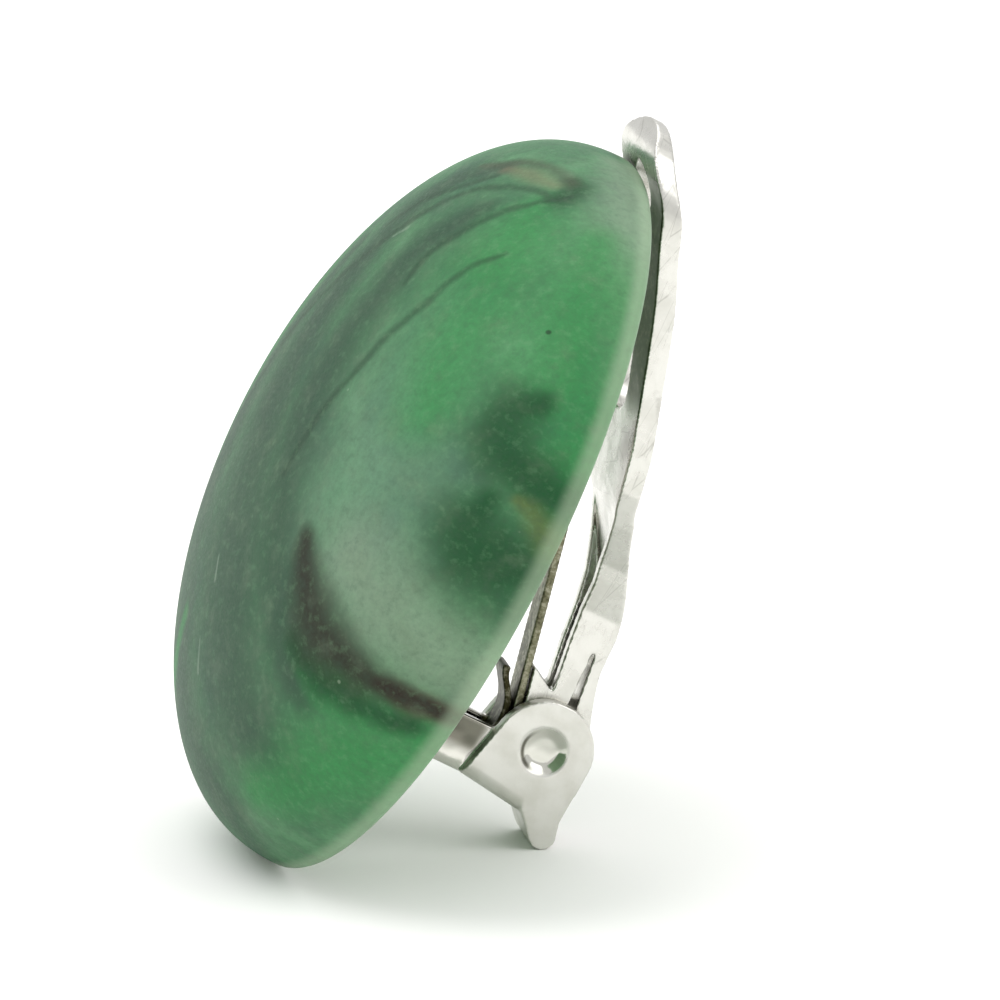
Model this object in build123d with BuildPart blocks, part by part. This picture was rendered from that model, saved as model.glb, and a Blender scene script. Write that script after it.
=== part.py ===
from build123d import *
import math
import os

# Clip-on button earring, millimetres, +Z up.
# It stands by itself: the button leans back on its lower rim and on the clip's tail.

# stance
lean = 28.6                 # degrees the button's face is tipped up from the vertical
centre_shift = 0.703        # the button's centre stands this far behind the frame's origin

# button
button_radius = 12.0
dome_height = 6.43
dome_round = 2.06           # fullness of the dome at its edge
dome_crown = 2.21           # flatness of the dome at its top
edge_radius = 0.3           # rounding between the dome and the flat back

# clip, in the button's own frame: (depth behind the widest plane, height above the centre)
glue_gap = 0.05
sheet = 0.5
pad_radius = 4.0
shelf_level = -7.02         # underside of the channel
bend_radius = 1.1
channel_half = 0.9
channel_wall = 0.45
channel_top = -5.3
channel_end = 4.5
channel_round = 0.35        # rounding along the channel's lower edges
ear_outer = 1.25
ear_inner = 0.75
ear_radius = 1.58
ear_front = 4.0
ear_back = 7.54
pin_depth = 6.0
pin_height = -5.23
boss_radius = 0.45
boss_play = 0.05
dimple_radius = 0.79
dimple_depth = 0.22

spring_thick = 0.25
spring_half = 0.6
spring_slope = 13.98        # degrees the leaf leans back going down
spring_foot = 3.4           # height where the foot turns into the leaf
spring_low = -6.2
spring_back = 3.793         # depth of the leaf's back face level with the centre

heel_flat = 0.828           # from the pin to the flats that face the spring
open_angle = 85.0
neck_half = 0.7
neck_wall = 0.45
tip_radius = 2.55
tip_centre = 11.05
window_half = 0.95

# the paddle's blade: height, depth of the front face, depth of the back face, twist in degrees
blade_rows = [
    (13.85, -0.20, 0.22, 2.0),
    (13.2, -0.20, 0.40, 3.5),
    (12.6, -0.12, 0.61, 4.5),
    (12.1, 0.19, 0.90, 4.5),
    (11.4, 0.67, 1.38, 3.6),
    (10.6, 0.94, 1.65, 5.0),
    (8.9, 1.65, 2.37, 6.5),
    (7.8, 2.08, 2.79, 6.5),
    (5.8, 2.90, 3.60, 4.0),
    (4.1, 3.56, 4.26, 2.0),
    (2.3, 4.26, 4.96, 0.0),
]
# the web of the neck below it: height, depth of the front face, depth of the back face
web_rows = [
    (2.3, 4.26, 4.96),
    (0.9, 5.02, 5.66),
    (-0.8, 5.80, 6.42),
    (-1.5, 5.93, 6.54),
    (-2.1, 5.95, 6.55),
    (-3.4, 6.28, 6.87),
    (-4.4, 6.62, 7.24),
]
# the paddle's outline seen from the front: height, half width
outline_rows = [
    (4.6, 2.55),
    (3.2, 2.25),
    (2.1, 1.80),
    (0.8, 1.15),
    (-0.8, neck_half),
]
# front edges of the neck's folded walls: depth, height
flange_front = [(4.26, 2.3), (4.61, 1.3), (4.95, 0.1), (5.24, -2.0), (5.51, -3.55)]
# front face of the tab: depth, height
tab_front = [(4.25, -6.7), (4.40, -5.4), (4.42, -4.93), (4.31, -4.45), (4.10, -4.08), (3.86, -3.75), (3.75, -3.42)]
tab_thick = 0.25

tip = math.radians(lean)
to_back = Vector(0, math.cos(tip), -math.sin(tip))
to_face = Vector(0, -math.cos(tip), math.sin(tip))
upward = Vector(0, math.sin(tip), math.cos(tip))
# the rounded edge of the rim touches the floor
rest_height = (button_radius - edge_radius) * math.cos(tip) + edge_radius
centre = Vector(0, centre_shift, rest_height)


def side_plane(across):
    """Plane of a side section: first coordinate the depth, second the height."""
    return Plane(origin=centre + Vector(across, 0, 0), x_dir=to_back, z_dir=(1, 0, 0))


def face_plane(depth):
    """Plane parallel to the button's back, looking at it from the face's side."""
    return Plane(origin=centre + to_back * depth, x_dir=(1, 0, 0), z_dir=to_face)


def dome_point(angle):
    """Depth and radius of the dome at an angle from its widest circle to its top."""
    turn = math.radians(angle)
    radius = button_radius * math.cos(turn) ** (2 / dome_round)
    rise = dome_height * math.sin(turn) ** (2 / dome_crown)
    return (-rise, radius)


def around_pin(angle, radius):
    """Point at an angle from straight up toward the back, seen from the pin."""
    turn = math.radians(angle)
    return (pin_depth + radius * math.sin(turn), pin_height + radius * math.cos(turn))


def floor_height(depth):
    """Height at which a point of this depth lies on the floor."""
    return (depth * math.sin(tip) - rest_height) / math.cos(tip)


# Button
with BuildPart() as cabochon:
    with BuildSketch(side_plane(0)):
        with BuildLine():
            dome = Spline(
                (-dome_height, 0),
                *[dome_point(a) for a in (75, 58, 40, 22, 8)],
                (0, button_radius),
                tangents=[(0, 1), (1, 0)],
            )
            edge = RadiusArc((0, button_radius), (edge_radius, button_radius - edge_radius), edge_radius)
            Line(edge @ 1, (edge_radius, 0))
            Line((edge_radius, 0), (-dome_height, 0))
        make_face()
    revolve(axis=Axis(centre, to_face))
cabochon.part.label = "cabochon"

# Ears with their shelf: one formed block, rounded below, hollow between the ears
with BuildPart() as ears:
    with BuildSketch(side_plane(0)):
        with Locations((pin_depth, pin_height)):
            Circle(ear_radius)
        with BuildLine():
            Polyline(
                (ear_front, shelf_level + 0.04),
                (ear_back - 0.04, -7.42),
                (ear_back, pin_height),
            )
        make_hull()
    extrude(amount=ear_outer, both=True)
    fillet(
        ears.edges()
        .filter_by(lambda e: abs(abs(e.center().X) - ear_outer) < 0.01)
        .group_by(lambda e: (e.center() - centre).dot(upward))[0],
        radius=0.45,
    )
    with BuildSketch(side_plane(0)):
        with BuildLine():
            Polyline(
                (ear_front - 1, shelf_level + 0.54),
                (ear_front, shelf_level + 0.54),
                (ear_back + 1, -6.93),
                (ear_back + 1, -2.5),
                (ear_front - 1, -2.5),
                close=True,
            )
        make_face()
    extrude(amount=ear_inner, both=True, mode=Mode.SUBTRACT)
    # dimples pressed in from outside
    for side in (-1, 1):
        for across, radius in ((ear_outer, dimple_radius), (ear_outer - dimple_depth, boss_radius)):
            with BuildSketch(side_plane(side * across)):
                with Locations((pin_depth, pin_height)):
                    Circle(radius)
        loft(mode=Mode.SUBTRACT)
    # and the bosses they leave inside
    with BuildSketch(side_plane(neck_half - neck_wall), side_plane(-ear_inner - 0.1)):
        with Locations((pin_depth, pin_height)):
            Circle(boss_radius)
    extrude(amount=ear_inner + 0.1 - neck_half + neck_wall)

# Clip base
pad_front = edge_radius + glue_gap
tail_depth = 7.45            # where the tail touches the floor
tail_round = 0.42
tail_centre = (tail_depth - tail_round * math.sin(tip), floor_height(tail_depth) + tail_round * math.cos(tip))
with BuildPart() as clip_base:
    with BuildSketch(face_plane(pad_front + sheet)):
        Circle(pad_radius)
    extrude(amount=sheet)

    # strip down the button's back and along to the ears
    with BuildSketch(side_plane(0)):
        with BuildLine():
            FilletPolyline(
                (pad_front + sheet / 2, -2.0),
                (pad_front + sheet / 2, shelf_level + sheet / 2),
                (4.7, shelf_level + sheet / 2),
                radius=bend_radius,
            )
        trace(line_width=sheet)
    extrude(amount=channel_half, both=True)

    # side walls of the channel
    with BuildSketch(side_plane(channel_half - channel_wall), side_plane(-channel_half)):
        with BuildLine():
            Polyline(
                (1.7, shelf_level + 0.3),
                (2.3, channel_top - 0.5),
                (3.1, channel_top),
                (channel_end, channel_top),
                (channel_end, shelf_level + 0.3),
                close=True,
            )
        make_face()
    extrude(amount=channel_wall)
    fillet(
        clip_base.edges()
        .filter_by(Axis(centre, to_back))
        .filter_by(lambda e: abs(abs(e.center().X) - channel_half) < 0.01)
        .group_by(lambda e: (e.center() - centre).dot(upward))[0],
        radius=channel_round,
    )

    # turned-down tail, round at its end
    with BuildSketch(side_plane(0)):
        with Locations(tail_centre):
            Circle(tail_round)
        with BuildLine():
            Polyline((6.2, -7.14), (6.2, -6.74), (7.48, -6.86))
        make_hull()
    extrude(amount=ear_outer, both=True)

    # curved tab in front of the spring
    with BuildSketch(side_plane(0)):
        with BuildLine():
            Spline(*tab_front)
            Spline(*[(d + tab_thick, t) for d, t in tab_front])
            Line(tab_front[0], (tab_front[0][0] + tab_thick, tab_front[0][1]))
            Line(tab_front[-1], (tab_front[-1][0] + tab_thick, tab_front[-1][1]))
        make_face()
    extrude(amount=spring_half, both=True)
    add(ears.part)
clip_base.part.label = "clip_base"

# Leaf spring: foot on the pad, bend above, leaf down to the heel
slope = math.tan(math.radians(spring_slope))
half = spring_thick / 2
foot_depth = pad_front + sheet + glue_gap + half
leaf_depth = spring_back - half / math.cos(math.radians(spring_slope))
reach = 1 + math.cos(math.radians(spring_slope)) - slope * math.sin(math.radians(spring_slope))
bend = (leaf_depth - slope * spring_foot - foot_depth) / reach
with BuildPart() as leaf_spring:
    with BuildSketch(side_plane(0)):
        with BuildLine():
            foot = Line((foot_depth, 0.6), (foot_depth, spring_foot))
            turn = JernArc(foot @ 1, (0, 1), bend, -(180 + spring_slope))
            Line(turn @ 1, (leaf_depth - slope * spring_low, spring_low))
        trace(line_width=spring_thick)
    extrude(amount=spring_half, both=True)
leaf_spring.part.label = "leaf_spring"

# Paddle
heel_top = -3.03
# the spring flat's front line, followed up to the nose
nose_depth = pin_depth - slope * (heel_top - pin_height) - heel_flat / math.cos(math.radians(spring_slope))
flat_turn = 270 - spring_slope
corner = heel_flat / math.cos(math.radians(open_angle / 2))
with BuildPart() as neck_hollow:
    with BuildSketch(face_plane(9.5)):
        with BuildLine():
            inner = [(w - neck_wall, t) for t, w in outline_rows[1:]]
            Polyline(
                *inner,
                (neck_half - neck_wall, -7.5),
                (neck_wall - neck_half, -7.5),
                *[(-w, t) for w, t in reversed(inner)],
                close=True,
            )
        make_face()
    extrude(amount=8)
    with BuildSketch(side_plane(0)):
        with BuildLine():
            web = [(front, t) for t, front, back in web_rows]
            Polyline((2.0, 2.4), *web, (9.0, web[-1][1]), (9.0, -8.0), (2.0, -8.0), close=True)
        make_face()
    extrude(amount=3, both=True, mode=Mode.INTERSECT)

with BuildPart() as clip_paddle:
    with BuildSketch(side_plane(0)):
        with BuildLine():
            flange = Polyline(
                *flange_front,
                (nose_depth, heel_top),
                around_pin(flat_turn - open_angle / 2, corner),
                around_pin(flat_turn - open_angle - 40, corner),
                (7.28, -4.9),
                (web_rows[-1][2], web_rows[-1][0]),
            )
            back_line = Spline(*[(back, t) for t, front, back in reversed(web_rows)])
            Line(back_line @ 1, flange @ 0)
        make_face()
    extrude(amount=tip_radius + 0.1, both=True)
    # the blade: flat sections, each turned a little further about the paddle's length
    for t, front, back, twist in blade_rows:
        turn = math.radians(twist)
        middle = centre + upward * t + to_back * (front + back) / 2
        along = Vector(math.cos(turn), 0, 0) + to_back * math.sin(turn)
        with BuildSketch(Plane(origin=middle, x_dir=along, z_dir=upward)):
            Rectangle(2 * tip_radius + 0.2, back - front)
    loft()
    with BuildSketch(face_plane(10)):
        with BuildLine():
            right = Polyline(
                (tip_radius, tip_centre),
                *[(w, t) for t, w in outline_rows],
                (neck_half, -7.5),
            )
            base = Line(right @ 1, (-neck_half, -7.5))
            left = Polyline(base @ 1, *[(-w, t) for t, w in reversed(outline_rows)],
                            (-tip_radius, tip_centre))
            ThreePointArc(left @ 1, (0, tip_centre + tip_radius), right @ 0)
        make_face()
    extrude(amount=12, mode=Mode.INTERSECT)
    add(neck_hollow.part, mode=Mode.SUBTRACT)
    with BuildSketch(face_plane(10)):
        with Locations((0, 8.75)):
            SlotOverall(7.1, 2 * window_half, rotation=90)
    extrude(amount=12, mode=Mode.SUBTRACT)
    with BuildSketch(side_plane(0)):
        with Locations((pin_depth, pin_height)):
            Circle(boss_radius + boss_play)
        # narrow slit between the folded walls and the web
        with BuildLine():
            Polyline((6.03, -1.9), (6.16, -3.95), (6.44, -3.95), (6.13, -1.9), close=True)
        make_face()
    extrude(amount=3, both=True, mode=Mode.SUBTRACT)
clip_paddle.part.label = "clip_paddle"

os.makedirs("parts", exist_ok=True)
export_step(cabochon.part, "parts/cabochon.step")
export_step(clip_base.part, "parts/clip_base.step")
export_step(leaf_spring.part, "parts/leaf_spring.step")
export_step(clip_paddle.part, "parts/clip_paddle.step")
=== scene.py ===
import bpy
import bmesh
import math
import numpy as np
from mathutils import Matrix, Vector


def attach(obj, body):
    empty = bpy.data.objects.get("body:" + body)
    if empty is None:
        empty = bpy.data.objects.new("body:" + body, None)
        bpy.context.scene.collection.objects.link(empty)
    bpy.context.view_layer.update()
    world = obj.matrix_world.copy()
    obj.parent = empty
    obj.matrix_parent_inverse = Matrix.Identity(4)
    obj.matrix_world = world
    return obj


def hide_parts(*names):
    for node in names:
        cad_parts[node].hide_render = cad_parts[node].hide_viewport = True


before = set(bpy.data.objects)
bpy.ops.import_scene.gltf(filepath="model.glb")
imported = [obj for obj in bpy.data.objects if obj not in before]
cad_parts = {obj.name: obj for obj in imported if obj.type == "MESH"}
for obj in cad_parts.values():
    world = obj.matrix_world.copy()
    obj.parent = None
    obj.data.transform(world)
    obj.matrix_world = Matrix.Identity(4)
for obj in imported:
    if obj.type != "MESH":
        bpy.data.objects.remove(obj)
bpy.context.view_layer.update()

# The button, in millimetres: its lean, its radius, the dome's height and the rounding of its rim
LEAN = math.radians(28.6)
RADIUS = 12.0
CROWN = 6.43
EDGE = 0.3
CENTRE_BACK = 0.703
# It stands on the rounding of its rim. CENTRE is in metres, like everything in the scene.
CENTRE = Vector((0, CENTRE_BACK / 1000, ((RADIUS - EDGE) * math.cos(LEAN) + EDGE) / 1000))
# Its own frame: x across, y up along its back, z out of its face, in millimetres
BUTTON = (
    Matrix.Translation(CENTRE)
    @ Matrix.Rotation(math.pi / 2 - LEAN, 4, "X")
    @ Matrix.Scale(0.001, 4)
)

# The pin the paddle turns on, in that frame
PIN_UP = -5.23
PIN_BACK = 6.0
# Cell of the fine mesh that the clip's stamped edges are eased on, in millimetres
FINE = 0.05


def linear(code):
    """sRGB hex to linear colour."""
    parts = [int(code[i:i + 2], 16) / 255 for i in (1, 3, 5)]
    return [p / 12.92 if p <= 0.04045 else ((p + 0.055) / 1.055) ** 2.4 for p in parts] + [1.0]


def add(tree, kind, inputs=None, stops=None, **settings):
    """Adds one node. Inputs are values or sockets, by name or place; stops fill a colour ramp."""
    made = tree.nodes.new(kind)
    for name, value in settings.items():
        setattr(made, name, value)
    for key, value in (inputs or {}).items():
        if isinstance(value, bpy.types.NodeSocket):
            tree.links.new(value, made.inputs[key])
        else:
            made.inputs[key].default_value = value
    if stops:
        ramp = made.color_ramp
        while len(ramp.elements) < len(stops):
            ramp.elements.new(1.0)
        for element, (place, colour) in zip(ramp.elements, stops):
            element.position = place
            element.color = linear(colour)
    return made


def new_material(name):
    made = bpy.data.materials.new(name)
    made.use_nodes = True
    made.node_tree.nodes.clear()
    return made, made.node_tree


def new_object(name, mesh, material, body, node=None):
    made = bpy.data.objects.new(name, mesh)
    bpy.context.scene.collection.objects.link(made)
    mesh.materials.clear()
    mesh.materials.append(material)
    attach(made, body)
    if node:
        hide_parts(node)
    return made


# Each streak of the marbling: its tint, then its run over the dome as (across, up, half width) in
# millimetres, measured along the surface from the dome's top.
STREAKS = [
    # dusky bands down the side, wide at the foot of the dome
    ("dusk", [(.0, 10.9, .4), (-1.3, 9.5, .7), (-1.6, 7.4, 1.0), (-1.5, 4.9, 1.2), (-1.0, 2.5, 1.7),
              (-.2, .3, 2.4), (.9, -1.8, 3.0), (2.3, -3.9, 3.2), (4.0, -5.8, 3.0), (5.8, -7.6, 2.2),
              (8.0, -8.8, 1.0)]),
    ("dusk", [(-3.6, 5.6, .5), (-3.6, 2.0, 1.3), (-3.4, -2.0, 1.8), (-1.9, -6.0, 2.2), (.6, -9.4, 2.2),
              (3.6, -11.8, 1.4)]),
    ("dusk", [(2.5, 9.5, .4), (2.0, 7.7, .8), (2.0, 5.5, 1.0), (2.2, 3.2, 1.3), (2.9, 1.1, 1.7),
              (4.2, -1.0, 2.0), (5.6, -3.2, 1.8)]),
    # grass green toward the clip
    ("leaf", [(3.9, 10.6, .8), (5.2, 9.6, 1.6), (6.6, 7.8, 2.0), (7.6, 5.7, 2.0), (8.5, 4.1, 1.2)]),
    ("leaf", [(6.6, 11.8, .8), (8.6, 10.6, 2.0), (10.2, 9.0, 2.6), (11.8, 7.6, 2.4)]),
    ("leaf", [(12.4, 7.6, 1.2), (13.2, 6.2, 1.6), (13.8, 4.8, 1.1)]),
    ("leaf", [(6.2, -10.2, .7), (8.0, -9.4, 1.1), (10.0, -8.2, 1.5), (11.8, -7.4, 1.6), (14.2, -7.2, 1.3)]),
    ("dusk", [(5.4, -1.8, 1.2), (6.4, -3.6, 1.2), (7.6, -5.2, .9), (9.0, -6.2, .5)]),
    ("leaf", [(8.8, -5.2, .3), (9.8, -5.5, .7), (11.0, -5.9, 1.0), (13.2, -6.0, 1.0)]),
    ("milk", [(.9, 14.6, .6), (3.4, 14.1, .9), (6.0, 13.2, 1.0), (8.6, 11.9, .9), (10.8, 10.3, .8),
              (12.2, 8.8, .6)]),
    ("mist", [(6.4, 6.2, 1.2), (7.2, 3.6, 2.0), (8.3, 1.4, 2.3), (9.6, -.6, 2.2)]),
    ("milk", [(9.2, -1.4, 1.2), (11.0, -2.2, 1.6), (12.8, -2.7, 1.6), (14.6, -3.0, 1.3)]),
    ("deep", [(11.4, 6.3, .4), (10.9, 5.4, .9), (11.2, 4.6, 1.0), (11.9, 4.2, .9),
              (12.9, 4.2, .9), (14.2, 4.6, .9)]),
    ("deep", [(12.3, 2.7, .5), (12.6, 1.2, 1.2), (13.5, 1.2, 1.5), (14.6, 1.6, 1.1)]),
    ("deep", [(8.0, -4.6, .4), (9.4, -5.3, .5), (11.0, -5.6, .5), (13.0, -5.6, .4)]),
    # the brown hook at the top, with rose inside
    ("rose", [(.2, 10.9, .2), (1.6, 11.4, .35), (2.8, 11.6, .25)]),
    ("smoke", [(-1.4, 10.4, .1), (-.5, 10.9, .25), (.6, 11.7, .25), (1.8, 12.1, .25), (3.0, 12.1, .3)]),
    ("deep", [(2.9, 12.2, .3), (3.5, 12.1, .5), (3.7, 11.5, .5)]),
    ("tan", [(12.9, 3.3, .2), (13.7, 3.3, .4), (14.8, 3.0, .6)]),
    ("wine", [(11.6, -4.5, .2), (12.8, -4.7, .4), (13.9, -4.7, .4), (14.9, -4.8, .35)]),
    ("umber", [(6.7, -1.6, .35), (7.4, -2.5, .6), (8.4, -3.5, .75), (9.5, -4.1, .7), (10.9, -4.5, .55),
               (12.2, -4.6, .35), (13.4, -4.7, .25), (14.9, -4.8, .2)]),
    # hairline cracks
    ("hair", [(-3.9, -4.0, .2), (-4.1, -1.7, .25), (-3.7, .6, .3), (-3.3, 2.7, .3), (-2.4, 4.5, .35),
              (-1.2, 6.4, .35), (-.3, 8.1, .3), (.6, 9.6, .3), (2.0, 10.7, .3), (3.3, 11.2, .2)]),
    ("hair", [(-2.3, 6.8, .1), (-1.5, 8.1, .25), (-.4, 9.4, .3), (.4, 10.5, .2)]),
    ("hair", [(3.8, -.7, .2), (3.9, .8, .3), (4.1, 2.5, .3), (4.3, 4.2, .3), (4.8, 5.8, .3),
              (5.1, 7.6, .25), (5.5, 9.1, .2)]),
    ("hair", [(3.0, 6.1, .2), (2.8, 7.4, .3), (3.0, 8.7, .3), (3.3, 9.8, .3), (3.6, 10.9, .25),
              (3.8, 11.8, .2)]),
    # painted glints: short pale dashes at the edge of the face
    ("painted_glint", [(1.3, -4.2, .08), (1.7, -4.9, .1)]),
    ("painted_glint", [(1.8, -6.8, .08), (2.0, -7.8, .1)]),
    ("painted_glint", [(-.6, 6.9, .08), (-.2, 7.5, .1)]),
    # far side: a dark oval in a green loop, cream and brown toward the rim
    ("dusk", [(-6.6, 6.2, 1.4), (-6.0, 3.0, 2.2), (-5.6, -.5, 2.2), (-5.0, -3.4, 1.4)]),
    ("dusk", [(-10.6, -3.6, .9), (-9.4, -6.4, 1.4), (-7.8, -8.8, 1.5)]),
    ("milk", [(-12.9, 5.2, 1.0), (-11.3, 8.2, 1.4), (-8.6, 11.2, 1.3), (-5.0, 13.6, .9)]),
    ("milk", [(-14.0, -1.6, .8), (-13.4, -5.0, 1.1), (-11.4, -8.6, 1.2), (-8.4, -12.0, 1.0)]),
    ("leaf", [(-9.0, 4.6, .3), (-8.4, 7.2, .4), (-6.6, 8.8, .4), (-5.4, 8.0, .4), (-5.0, 5.4, .35),
              (-5.0, 2.2, .4), (-5.3, -1.2, .4), (-6.0, -3.9, .5), (-6.9, -5.7, .6), (-8.0, -7.8, .5),
              (-7.2, -9.8, .4), (-4.8, -10.2, .5), (-2.2, -8.8, .4), (-.8, -6.6, .3)]),
    ("leaf", [(-11.8, 1.6, .3), (-10.9, -.3, .6), (-10.8, -2.6, .4)]),
    ("smoke", [(-10.8, -8.2, .6), (-9.2, -10.4, .9), (-6.6, -12.2, .9)]),
    ("rose", [(-11.6, -9.0, .3), (-10.2, -10.8, .4), (-8.2, -12.4, .3)]),
    ("umber", [(-13.9, 5.4, .35), (-12.9, 4.2, .45), (-13.1, 2.6, .3), (-12.2, 1.2, .15),
               (-12.9, -.8, .2), (-12.4, -3.4, .3), (-13.2, -6.0, .2)]),
    ("hair", [(-12.0, 3.4, .15), (-10.9, .2, .25), (-9.9, -3.2, .3), (-8.2, -6.6, .3), (-6.0, -10.4, .3),
              (-4.9, -13.6, .2)]),
    ("hair", [(-6.4, 12.6, .15), (-6.2, 9.6, .25), (-5.6, 6.4, .3), (-5.5, 3.6, .2)]),
    ("hair", [(-5.4, .6, .15), (-4.6, -2.4, .25), (-3.4, -6.2, .3), (-2.7, -9.8, .3), (-1.4, -13.6, .2)]),
    ("hair", [(-10.4, 8.4, .15), (-9.4, 5.4, .25), (-8.6, 2.2, .2)]),
]

TINTS = ["dusk", "mist", "leaf", "milk", "deep", "smoke", "rose", "tan", "wine", "umber", "hair", "painted_glint"]


def dome_point(angle):
    """Radius and rise of the dome at an angle from its widest circle to its top."""
    return RADIUS * math.cos(angle) ** (2 / 2.06), CROWN * math.sin(angle) ** (2 / 2.21)


def smooth_run(points, steps=8):
    """Points along a smooth curve through the given ones."""
    p = np.array([points[0], *points, points[-1]], float)
    run = []
    for a, b, c, d in zip(p, p[1:], p[2:], p[3:]):
        for s in np.linspace(0, 1, steps, endpoint=False):
            run.append(b + 0.5 * s * (c - a + s * (2 * a - 5 * b + 4 * c - d + s * (3 * (b - c) + d - a))))
    return np.array([*run, p[-1]])


def closeness(places, run):
    """1 on the run, a half at its half width and 0 at twice that."""
    best = np.zeros(len(places))
    for a, b in zip(run, run[1:]):
        along = b[:2] - a[:2]
        share = np.clip((places - a[:2]) @ along / max(along @ along, 1e-9), 0, 1)
        gap = np.linalg.norm(places - (a[:2] + share[:, None] * along), axis=1)
        width = np.maximum(a[2] + share * (b[2] - a[2]), 0.02)
        best = np.maximum(best, 1 - gap / (2 * width))
    return best


def button_mesh(around=480, down=170):
    """The button as rings from the dome's top over its edge to the flat back.

    Each point also keeps its place along the surface from the top, for the marbling.
    """
    rings = [(1e-6, CROWN, 0.0)]
    last, run = np.array([0, CROWN]), 0.0
    for k in range(1, down + 1):
        # rings stand a little closer toward the edge
        angle = math.pi / 2 * (1 - k / down) ** 1.15
        here = np.array(dome_point(angle))
        run += np.linalg.norm(here - last)
        last = here
        rings.append((here[0], here[1], run))
    for k in range(1, 7):
        turn = math.pi / 2 * k / 6
        rings.append((RADIUS - EDGE + EDGE * math.cos(turn), -EDGE * math.sin(turn), run + EDGE * turn))
    for k in range(1, 12):
        share = 1 - k / 11
        rings.append(((RADIUS - EDGE) * share + 1e-6, -EDGE, run + EDGE * 1.6 + (1 - share) * RADIUS))
    turns = np.linspace(0, 2 * math.pi, around, endpoint=False)
    spots, face = [], []
    for radius, rise, run in rings[1:-1]:
        spots += [(radius * math.cos(t), radius * math.sin(t), rise) for t in turns]
        face += [(run * math.cos(t), run * math.sin(t)) for t in turns]
    count = len(rings) - 2
    spots += [(0, 0, CROWN), (0, 0, -EDGE)]
    face += [(0, 0), (rings[-1][2], 0)]
    top, bottom = count * around, count * around + 1
    faces = []
    for i in range(around):
        j = (i + 1) % around
        faces.append((top, i, j))
        faces.append((bottom, (count - 1) * around + j, (count - 1) * around + i))
        for r in range(count - 1):
            a, b = r * around, (r + 1) * around
            faces.append((a + i, b + i, b + j, a + j))
    mesh = bpy.data.meshes.new("button")
    mesh.from_pydata([BUTTON @ Vector(s) for s in spots], [], faces)
    mesh.shade_smooth()
    face = np.array(face)
    layer = mesh.attributes.new("face", "FLOAT_VECTOR", "POINT")
    layer.data.foreach_set("vector", np.c_[face, np.zeros(len(face))].ravel())
    # streaks wander a little off their run, in waves of three sizes
    u, v = face.T
    drift = np.c_[
        0.30 * np.sin(0.9 * v + 1.1) + 0.12 * np.sin(2.3 * v - 0.8 * u) + 0.05 * np.sin(5.1 * v + 2.0 * u),
        0.30 * np.sin(0.8 * u + 2.0) + 0.12 * np.sin(2.1 * u + 0.9 * v) + 0.05 * np.sin(4.7 * u - 2.4 * v),
    ] * 0.4
    for tint in TINTS:
        near = np.zeros(len(face))
        for kind, points in STREAKS:
            if kind == tint:
                near = np.maximum(near, closeness(face + drift, smooth_run(points)))
        layer = mesh.attributes.new(tint, "FLOAT", "POINT")
        layer.data.foreach_set("value", near)
    return mesh


def button_frame(tree):
    """Places in the button's own frame: across, up its back, out of its face, in millimetres."""
    place = add(tree, "ShaderNodeTexCoord").outputs["Object"]
    inputs = {"Vector": place, "Location": CENTRE, "Rotation": (math.pi / 2 - LEAN, 0, 0),
              "Scale": (0.001, 0.001, 0.001)}
    return add(tree, "ShaderNodeMapping", inputs, vector_type="TEXTURE").outputs[0]


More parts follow.
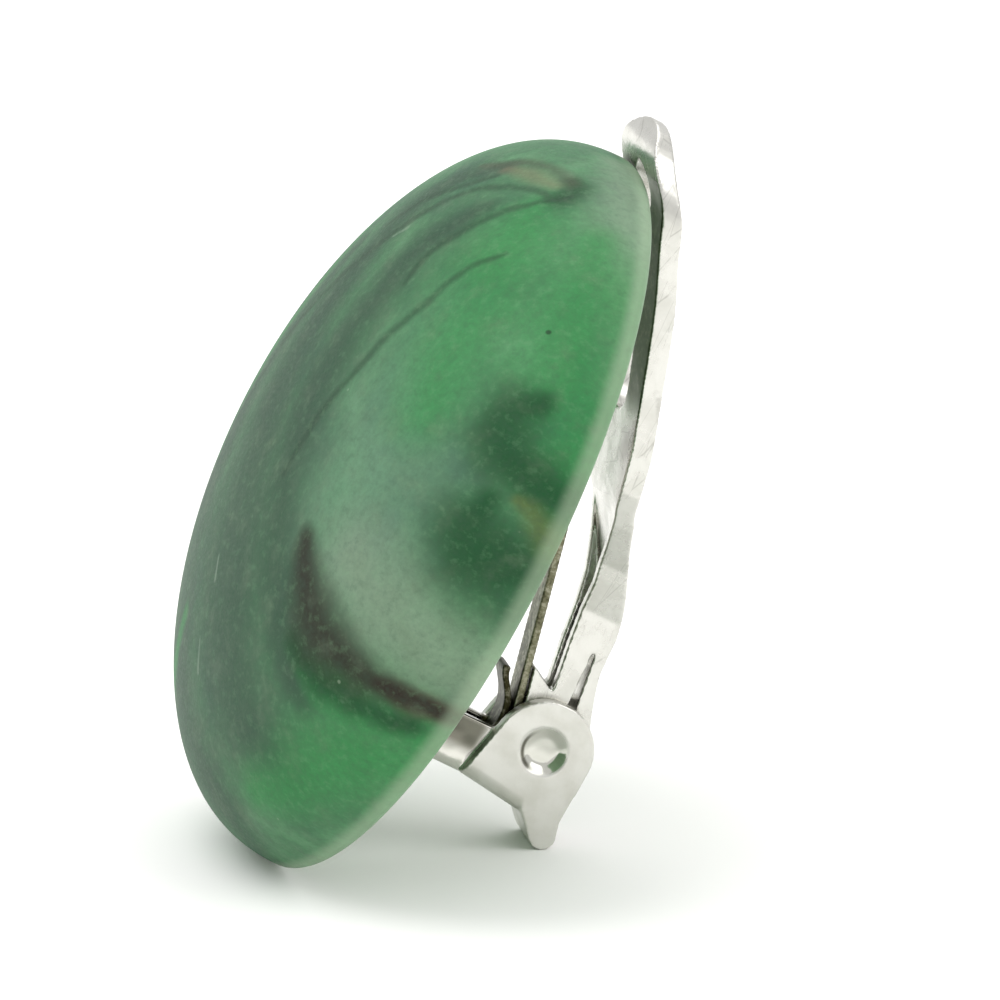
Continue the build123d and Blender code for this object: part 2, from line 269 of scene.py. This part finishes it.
def frosted_resin():
    """Cast resin, tumbled to a frosted matt skin: soft wide sheen, light sinks in a little."""
    made, tree = new_material("frosted_marbled_resin")
    face = add(tree, "ShaderNodeAttribute", attribute_name="face").outputs["Vector"]
    local = button_frame(tree)
    # slow drift that bends the clouds of colour
    drift = add(tree, "ShaderNodeTexNoise", {"Vector": face, "Scale": 0.17}).outputs["Color"]
    bent = add(tree, "ShaderNodeVectorMath", {0: face, 1: (3.5,) * 3}, operation="SUBTRACT").outputs[0]
    bent = add(tree, "ShaderNodeVectorMath", {0: drift, 1: (7.0,) * 3, 2: bent},
               operation="MULTIPLY_ADD").outputs[0]
    # clouds, unevenness and mottling of the marbling, then the grain and the frost of the skin
    clouds, uneven, mottle, fine, frost = [
        add(tree, "ShaderNodeTexNoise", {"Vector": place, "Scale": scale, "Detail": detail,
            "Roughness": rough}).outputs["Fac"]
        for place, scale, detail, rough in (
            (bent, 0.22, 3.0, 0.55),
            (face, 0.9, 4.0, 0.60),
            (face, 2.6, 3.0, 0.65),
            (local, 5.0, 3.0, 0.70),
            (local, 9.0, 3.0, 0.70),
        )
    ]
    colour = add(tree, "ShaderNodeValToRGB", {"Fac": clouds}, stops=[
        (0.30, "#345e49"), (0.45, "#41734f"), (0.56, "#4d8359"), (0.70, "#60926a")]).outputs["Color"]
    speck = add(tree, "ShaderNodeVectorMath", {0: face, 1: (9.4, 8.3, 0)}, operation="DISTANCE")
    dots = add(tree, "ShaderNodeTexVoronoi", {"Vector": face, "Scale": 0.42})
    rise = add(tree, "ShaderNodeSeparateXYZ", {"Vector": local})
    # every layer in its order: its value, the value where it starts, where it is full, strength, colour
    layers = []
    ragged = 0.34
    for tint, start, end, strength, shade in (
        ("dusk", -0.10, 1.0, 0.86, "#284635"),
        ("mist", -0.2, 1.0, 0.45, "#7d9f88"),
        ("milk", -0.1, 1.0, 0.70, "#869c84"),
        ("leaf", 0.0, 1.0, 0.72, "#2f8a48"),
        ("deep", 0.0, 0.95, 0.90, "#0f4a26"),
        ("rose", 0.0, 1.0, 0.42, "#86765c"),
        ("smoke", 0.0, 1.0, 0.62, "#454a38"),
        ("tan", 0.0, 1.0, 0.50, "#6a7038"),
        ("wine", 0.0, 0.9, 0.75, "#4a2420"),
        ("umber", -0.35, 0.95, 0.93, "#241d17"),
        ("hair", 0.40, 1.0, 0.60, "#1d3826"),
        # painted glints, pale dashes at the edge of the face
        ("painted_glint", 0.30, 1.0, 0.20, "#c3cfbf"),
    ):
        near = add(tree, "ShaderNodeAttribute", attribute_name=tint).outputs["Fac"]
        near = add(tree, "ShaderNodeMath", {0: uneven, 1: ragged, 2: near},
                   operation="MULTIPLY_ADD").outputs[0]
        layers.append((near, start + ragged / 2, end + ragged / 2, strength, shade))
    layers += [
        # a dark speck and a sprinkle of pale ones
        (speck.outputs["Value"], 0.13, 0.05, 0.80, "#1c3020"),
        (dots.outputs["Distance"], 0.035, 0.015, 0.25, "#a9baa2"),
        # milky veil that comes and goes, soft mottling, and a fine grain under the skin
        (uneven, 0.50, 0.85, 0.20, "#7f9a7c"),
        (mottle, 0.48, 0.72, 0.22, "#35503f"),
        (mottle, 0.50, 0.28, 0.16, "#6f9a72"),
        (fine, 0.35, 0.65, 0.14, "#3a4a3c"),
        # painted sheen: the dome is paler toward its rim
        (rise.outputs["Z"], 0.5, 0.0, 0.42, "#9fb397"),
    ]
    for value, start, end, strength, shade in layers:
        share = add(tree, "ShaderNodeMapRange", {"Value": value, "From Min": start, "From Max": end,
                    "To Max": strength}, interpolation_type="SMOOTHSTEP").outputs[0]
        colour = add(tree, "ShaderNodeMix", {0: share, 6: colour, 7: linear(shade)},
                     data_type="RGBA").outputs[2]
    rough = add(tree, "ShaderNodeMapRange", {"Value": frost, "From Min": 0.3, "From Max": 0.7,
                "To Min": 0.46, "To Max": 0.60}).outputs[0]
    bump = add(tree, "ShaderNodeBump", {"Height": frost, "Strength": 0.2, "Distance": 0.00002}).outputs[0]
    surface = add(tree, "ShaderNodeBsdfPrincipled", {
        "Base Color": colour, "Roughness": rough, "IOR": 1.54, "Normal": bump,
        "Specular IOR Level": 0.14, "Subsurface Weight": 0.2,
        "Subsurface Radius": (0.7, 1.0, 0.8), "Subsurface Scale": 0.0005})
    add(tree, "ShaderNodeOutputMaterial", {"Surface": surface.outputs[0]})
    return made


def plated_steel(name, shade, dark, roughness, marks=()):
    """Nickel plate over stamped steel: pale satin, with a faint haze and fine handling marks.

    Marks are places with another finish or with painted shade. Each has its bounds, a list of (value, low,
    high, softness), then its tint, how much of the tint shows, its roughness and how strongly it is
    buckled.
    """
    made, tree = new_material(name)
    local = button_frame(tree)
    split = add(tree, "ShaderNodeSeparateXYZ", {"Vector": local}).outputs
    across = add(tree, "ShaderNodeMath", {0: split["X"]}, operation="ABSOLUTE").outputs[0]
    haze, pits, wave = [
        add(tree, "ShaderNodeTexNoise", {"Vector": local, "Scale": scale, "Detail": detail,
            "Roughness": coarse}).outputs["Fac"]
        for scale, detail, coarse in ((0.9, 4.0, 0.6), (4.5, 4.0, 0.7), (0.9, 1.0, 0.5))
    ]
    # how far from the pin's axis, and how much the surface is turned to the button
    pin = add(tree, "ShaderNodeVectorMath", {0: local, 1: (0, 1, 1)}, operation="MULTIPLY").outputs[0]
    pin = add(tree, "ShaderNodeVectorMath", {0: pin, 1: (0, PIN_UP, -PIN_BACK)},
              operation="DISTANCE").outputs["Value"]
    normal = add(tree, "ShaderNodeTexCoord").outputs["Normal"]
    turned = add(tree, "ShaderNodeVectorMath", {0: normal, 1: (0, -math.cos(LEAN), math.sin(LEAN))},
                 operation="DOT_PRODUCT").outputs["Value"]
    # few long scratches, thin and dark, crossing each other
    scratches = []
    for turn, seed in ((0.5, 3.0), (-0.7, 11.0)):
        line = add(tree, "ShaderNodeMapping", {"Vector": local, "Rotation": (turn, turn * 0.6, 0),
                   "Location": (seed, seed * 0.7, 0), "Scale": (0.25, 0.22, 1.7)}).outputs[0]
        scratches.append(add(tree, "ShaderNodeTexVoronoi", {"Vector": line, "Scale": 1.0},
                             feature="DISTANCE_TO_EDGE").outputs["Distance"])
    scratch = add(tree, "ShaderNodeMath", {0: scratches[0], 1: scratches[1]},
                  operation="MINIMUM").outputs[0]
    values = {"across": across, "up": split["Y"], "out": split["Z"], "haze": haze, "pits": pits, "pin": pin,
              "turned": turned, "scratch": scratch}
    colour, rough, buckle = linear(shade), roughness, 0.0
    marks = [([("haze", 0.53, 9.0, 0.17)], dark, 1.0, roughness + 0.06, 0.0), *marks]
    for bounds, tone, strength, finish, ripple in marks:
        share = strength
        for what, low, high, soft in bounds:
            # up from 0 past the low bound, and down to 0 past the high one
            for edge, way in ((low, soft), (high, -soft)):
                step = add(tree, "ShaderNodeMapRange", {"Value": values[what], "From Min": edge - way,
                           "From Max": edge + way}, interpolation_type="SMOOTHSTEP").outputs[0]
                share = add(tree, "ShaderNodeMath", {0: share, 1: step}, operation="MULTIPLY").outputs[0]
        colour = add(tree, "ShaderNodeMix", {0: share, 6: colour, 7: linear(tone)},
                     data_type="RGBA").outputs[2]
        rough = add(tree, "ShaderNodeMix", {0: share, 2: rough, 3: finish}).outputs[0]
        buckle = add(tree, "ShaderNodeMix", {0: share, 2: buckle, 3: ripple}).outputs[0]
    bump = add(tree, "ShaderNodeBump", {"Height": wave, "Strength": buckle, "Distance": 0.0005}).outputs[0]
    bump = add(tree, "ShaderNodeBump", {"Height": pits, "Strength": 0.12, "Distance": 0.00002,
               "Normal": bump}).outputs[0]
    surface = add(tree, "ShaderNodeBsdfPrincipled", {
        "Base Color": colour, "Metallic": 1.0, "Roughness": rough, "Normal": bump})
    add(tree, "ShaderNodeOutputMaterial", {"Surface": surface.outputs[0]})
    return made


def softened(node, passes):
    """A copy of a CAD node's mesh with its stamped edges rounded over by passes of smoothing."""
    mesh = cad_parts[node].data.copy()
    mesh.transform(BUTTON.inverted())
    shape = bmesh.new()
    shape.from_mesh(mesh)
    bmesh.ops.remove_doubles(shape, verts=shape.verts, dist=1e-4)
    shape.to_mesh(mesh)
    shape.free()
    mesh.update()
    work = bpy.data.objects.new("work", mesh)
    bpy.context.scene.collection.objects.link(work)
    fine = work.modifiers.new("fine", "REMESH")
    fine.mode = "VOXEL"
    fine.voxel_size = FINE
    ease = work.modifiers.new("ease", "SMOOTH")
    ease.factor = 0.5
    ease.iterations = passes
    graph = bpy.context.evaluated_depsgraph_get()
    made = bpy.data.meshes.new_from_object(work.evaluated_get(graph))
    bpy.data.objects.remove(work)
    made.transform(BUTTON)
    made.shade_smooth()
    return made


# Bounds of the places with their own finish or with painted shade, in millimetres; EVERYWHERE lies past the
# whole clip
EVERYWHERE = 9.0
EARS = ("across", 0.98, EVERYWHERE, 0.1)
TAB = [("across", -1.0, 0.68, 0.05), ("up", -6.6, -3.0, 0.05), ("out", -4.85, -3.4, 0.05)]
CHANNEL = ("across", -1.0, 0.95, 0.05)
# the face turned to the button, below where it clears the rim: painted shade and reflection
INNER_FACE_PAINTED_SHADE = [("turned", 0.52, EVERYWHERE, 0.17), ("up", 5.6, 11.9, 0.5)]
SPECKS = ("pits", 0.55, EVERYWHERE, 0.08)
SCRATCHED = ([("scratch", -1.0, 0.008, 0.006), ("haze", 0.50, EVERYWHERE, 0.06)],
             "#5c5b52", 0.28, 0.30, 0.0)

resin = frosted_resin()
clip_plate = plated_steel("satin_nickel_clip", "#d9d8d2", "#cecdc5", 0.30, [
    # the tab is dull like the spring, and speckled
    (TAB, "#34321f", 1.0, 0.42, 0.0),
    ([*TAB, SPECKS], "#767463", 0.7, 0.42, 0.0),
    # the channel is bright and a little buckled, with painted shade darkening it toward its mouth, where
    # the dome shades it
    ([CHANNEL, ("up", -8.0, -5.2, 0.05), ("out", -4.2, -0.9, 0.05)], "#d4d3cb", 0.9, 0.12, 0.35),
    # painted shade in the channel's mouth
    ([CHANNEL, ("up", -6.3, -5.2, 0.25), ("out", -4.2, -2.1, 0.25)], "#45422f", 0.8, 0.16, 0.35),
    # pressed dimples: polished, with a painted dark reflection as a line around the lower left
    ([EARS, ("pin", -1.0, 0.72, 0.04)], "#c9c9c0", 0.9, 0.10, 0.30),
    # painted dark reflection on the lower left of each dimple's rim
    ([EARS, ("pin", 0.60, 0.72, 0.05), ("out", -5.9, EVERYWHERE, 0.2), ("up", -9.0, -4.9, 0.3)],
     "#3d3b2b", 0.85, 0.2, 0.0),
])
paddle_plate = plated_steel("satin_nickel_paddle", "#d8d7d1", "#cbcac3", 0.25, [
    # the face turned to the button is a little rougher and carries painted shade and a painted reflection
    # of the button's dark back, with pale specks, but not where it stands clear of the rim
    (INNER_FACE_PAINTED_SHADE, "#4b5138", 0.95, 0.30, 0.0),
    ([*INNER_FACE_PAINTED_SHADE, ("pits", 0.56, EVERYWHERE, 0.08)], "#7d7f68", 0.6, 0.30, 0.0),
    SCRATCHED,
])
# bare steel, dulled by its hardening, with pale and dark specks
spring_steel = plated_steel("dull_spring_steel", "#77765f", "#5b5a45", 0.38, [
    ([("pits", 0.55, EVERYWHERE, 0.05)], "#a3a18f", 0.6, 0.36, 0.0),
    ([("pits", -1.0, 0.42, 0.05)], "#3f3d2c", 0.7, 0.42, 0.0),
    SCRATCHED,
])

# name, mesh, material, body, the CAD node it replaces and its slot
for name, mesh, material, body, node, slot in (
    ("button", button_mesh(), resin, "button", "cabochon", "resin"),
    ("clip", softened("clip_base", 4), clip_plate, "button", "clip_base", "plated_clip"),
    ("spring", softened("leaf_spring", 3), spring_steel, "button", "leaf_spring", "spring_steel"),
    ("paddle", softened("clip_paddle", 4), paddle_plate, "paddle", "clip_paddle", "plated_paddle"),
):
    new_object(name, mesh, material, body, node)

# The floor, the lights and the camera, in metres
FLOOR_RADIUS = 2.0
floor_mesh = bpy.data.meshes.new("floor")
turns = np.linspace(0, 2 * math.pi, 64, endpoint=False)
ring = [(FLOOR_RADIUS * math.cos(t), FLOOR_RADIUS * math.sin(t), 0) for t in turns]
floor_mesh.from_pydata(ring, [], [tuple(range(len(ring)))])
floor = bpy.data.objects.new("floor", floor_mesh)
bpy.context.scene.collection.objects.link(floor)
# matt white paper
paper, paper_tree = new_material("white_paper")
paper_skin = add(paper_tree, "ShaderNodeBsdfPrincipled", {"Base Color": linear("#fafaf8"), "Roughness": 0.9,
                 "Specular IOR Level": 0.1})
add(paper_tree, "ShaderNodeOutputMaterial", {"Surface": paper_skin.outputs[0]})
floor_mesh.materials.append(paper)

world = bpy.data.worlds.new("studio")
bpy.context.scene.world = world
world.use_nodes = True
world.node_tree.nodes.clear()
sky = add(world.node_tree, "ShaderNodeBackground", {"Color": linear("#f8f8f8"), "Strength": 0.90})
add(world.node_tree, "ShaderNodeOutputWorld", {"Surface": sky.outputs[0]})

VIEW_AZIMUTH = math.radians(79.7)
VIEW_ELEVATION = math.radians(15)
toward = Vector((math.sin(VIEW_AZIMUTH) * math.cos(VIEW_ELEVATION),
                 -math.cos(VIEW_AZIMUTH) * math.cos(VIEW_ELEVATION), math.sin(VIEW_ELEVATION)))
right = Vector((math.cos(VIEW_AZIMUTH), math.sin(VIEW_AZIMUTH), 0))
above = toward.cross(right)

# lights, all white: name, place as (right, up, toward the camera), size, power in watts
for name, (across, up, near), size, power in (
    ("key", (-1.1, 2.4, 0.9), 2.4, 38.0),
    ("fill", (1.8, 1.5, 1.2), 2.4, 20.0),
    ("back", (0.4, 2.6, -1.0), 2.4, 16.0),
):
    lamp = bpy.data.lights.new(name, "AREA")
    lamp.shape = "DISK"
    lamp.size = size
    lamp.energy = power
    holder = bpy.data.objects.new(name, lamp)
    bpy.context.scene.collection.objects.link(holder)
    holder.location = right * across + above * up + toward * near
    holder.rotation_mode = "QUATERNION"
    holder.rotation_quaternion = (holder.location - CENTRE).to_track_quat("Z", "Y")

camera = bpy.data.cameras.new("camera")
camera.sensor_width = 36
camera.lens = 1000
camera.clip_start, camera.clip_end = 0.01, 20
eye = bpy.data.objects.new("camera", camera)
bpy.context.scene.collection.objects.link(eye)
# the picture's width at the earring; a long lens from far away
PICTURE_WIDTH = 0.0305
aim = CENTRE + 0.0016 * right + 0.0003 * above
eye.location = aim + toward * PICTURE_WIDTH * camera.lens / camera.sensor_width
eye.rotation_mode = "QUATERNION"
eye.rotation_quaternion = toward.to_track_quat("Z", "Y")
bpy.context.scene.camera = eye
bpy.context.scene.view_settings.view_transform = "Standard"
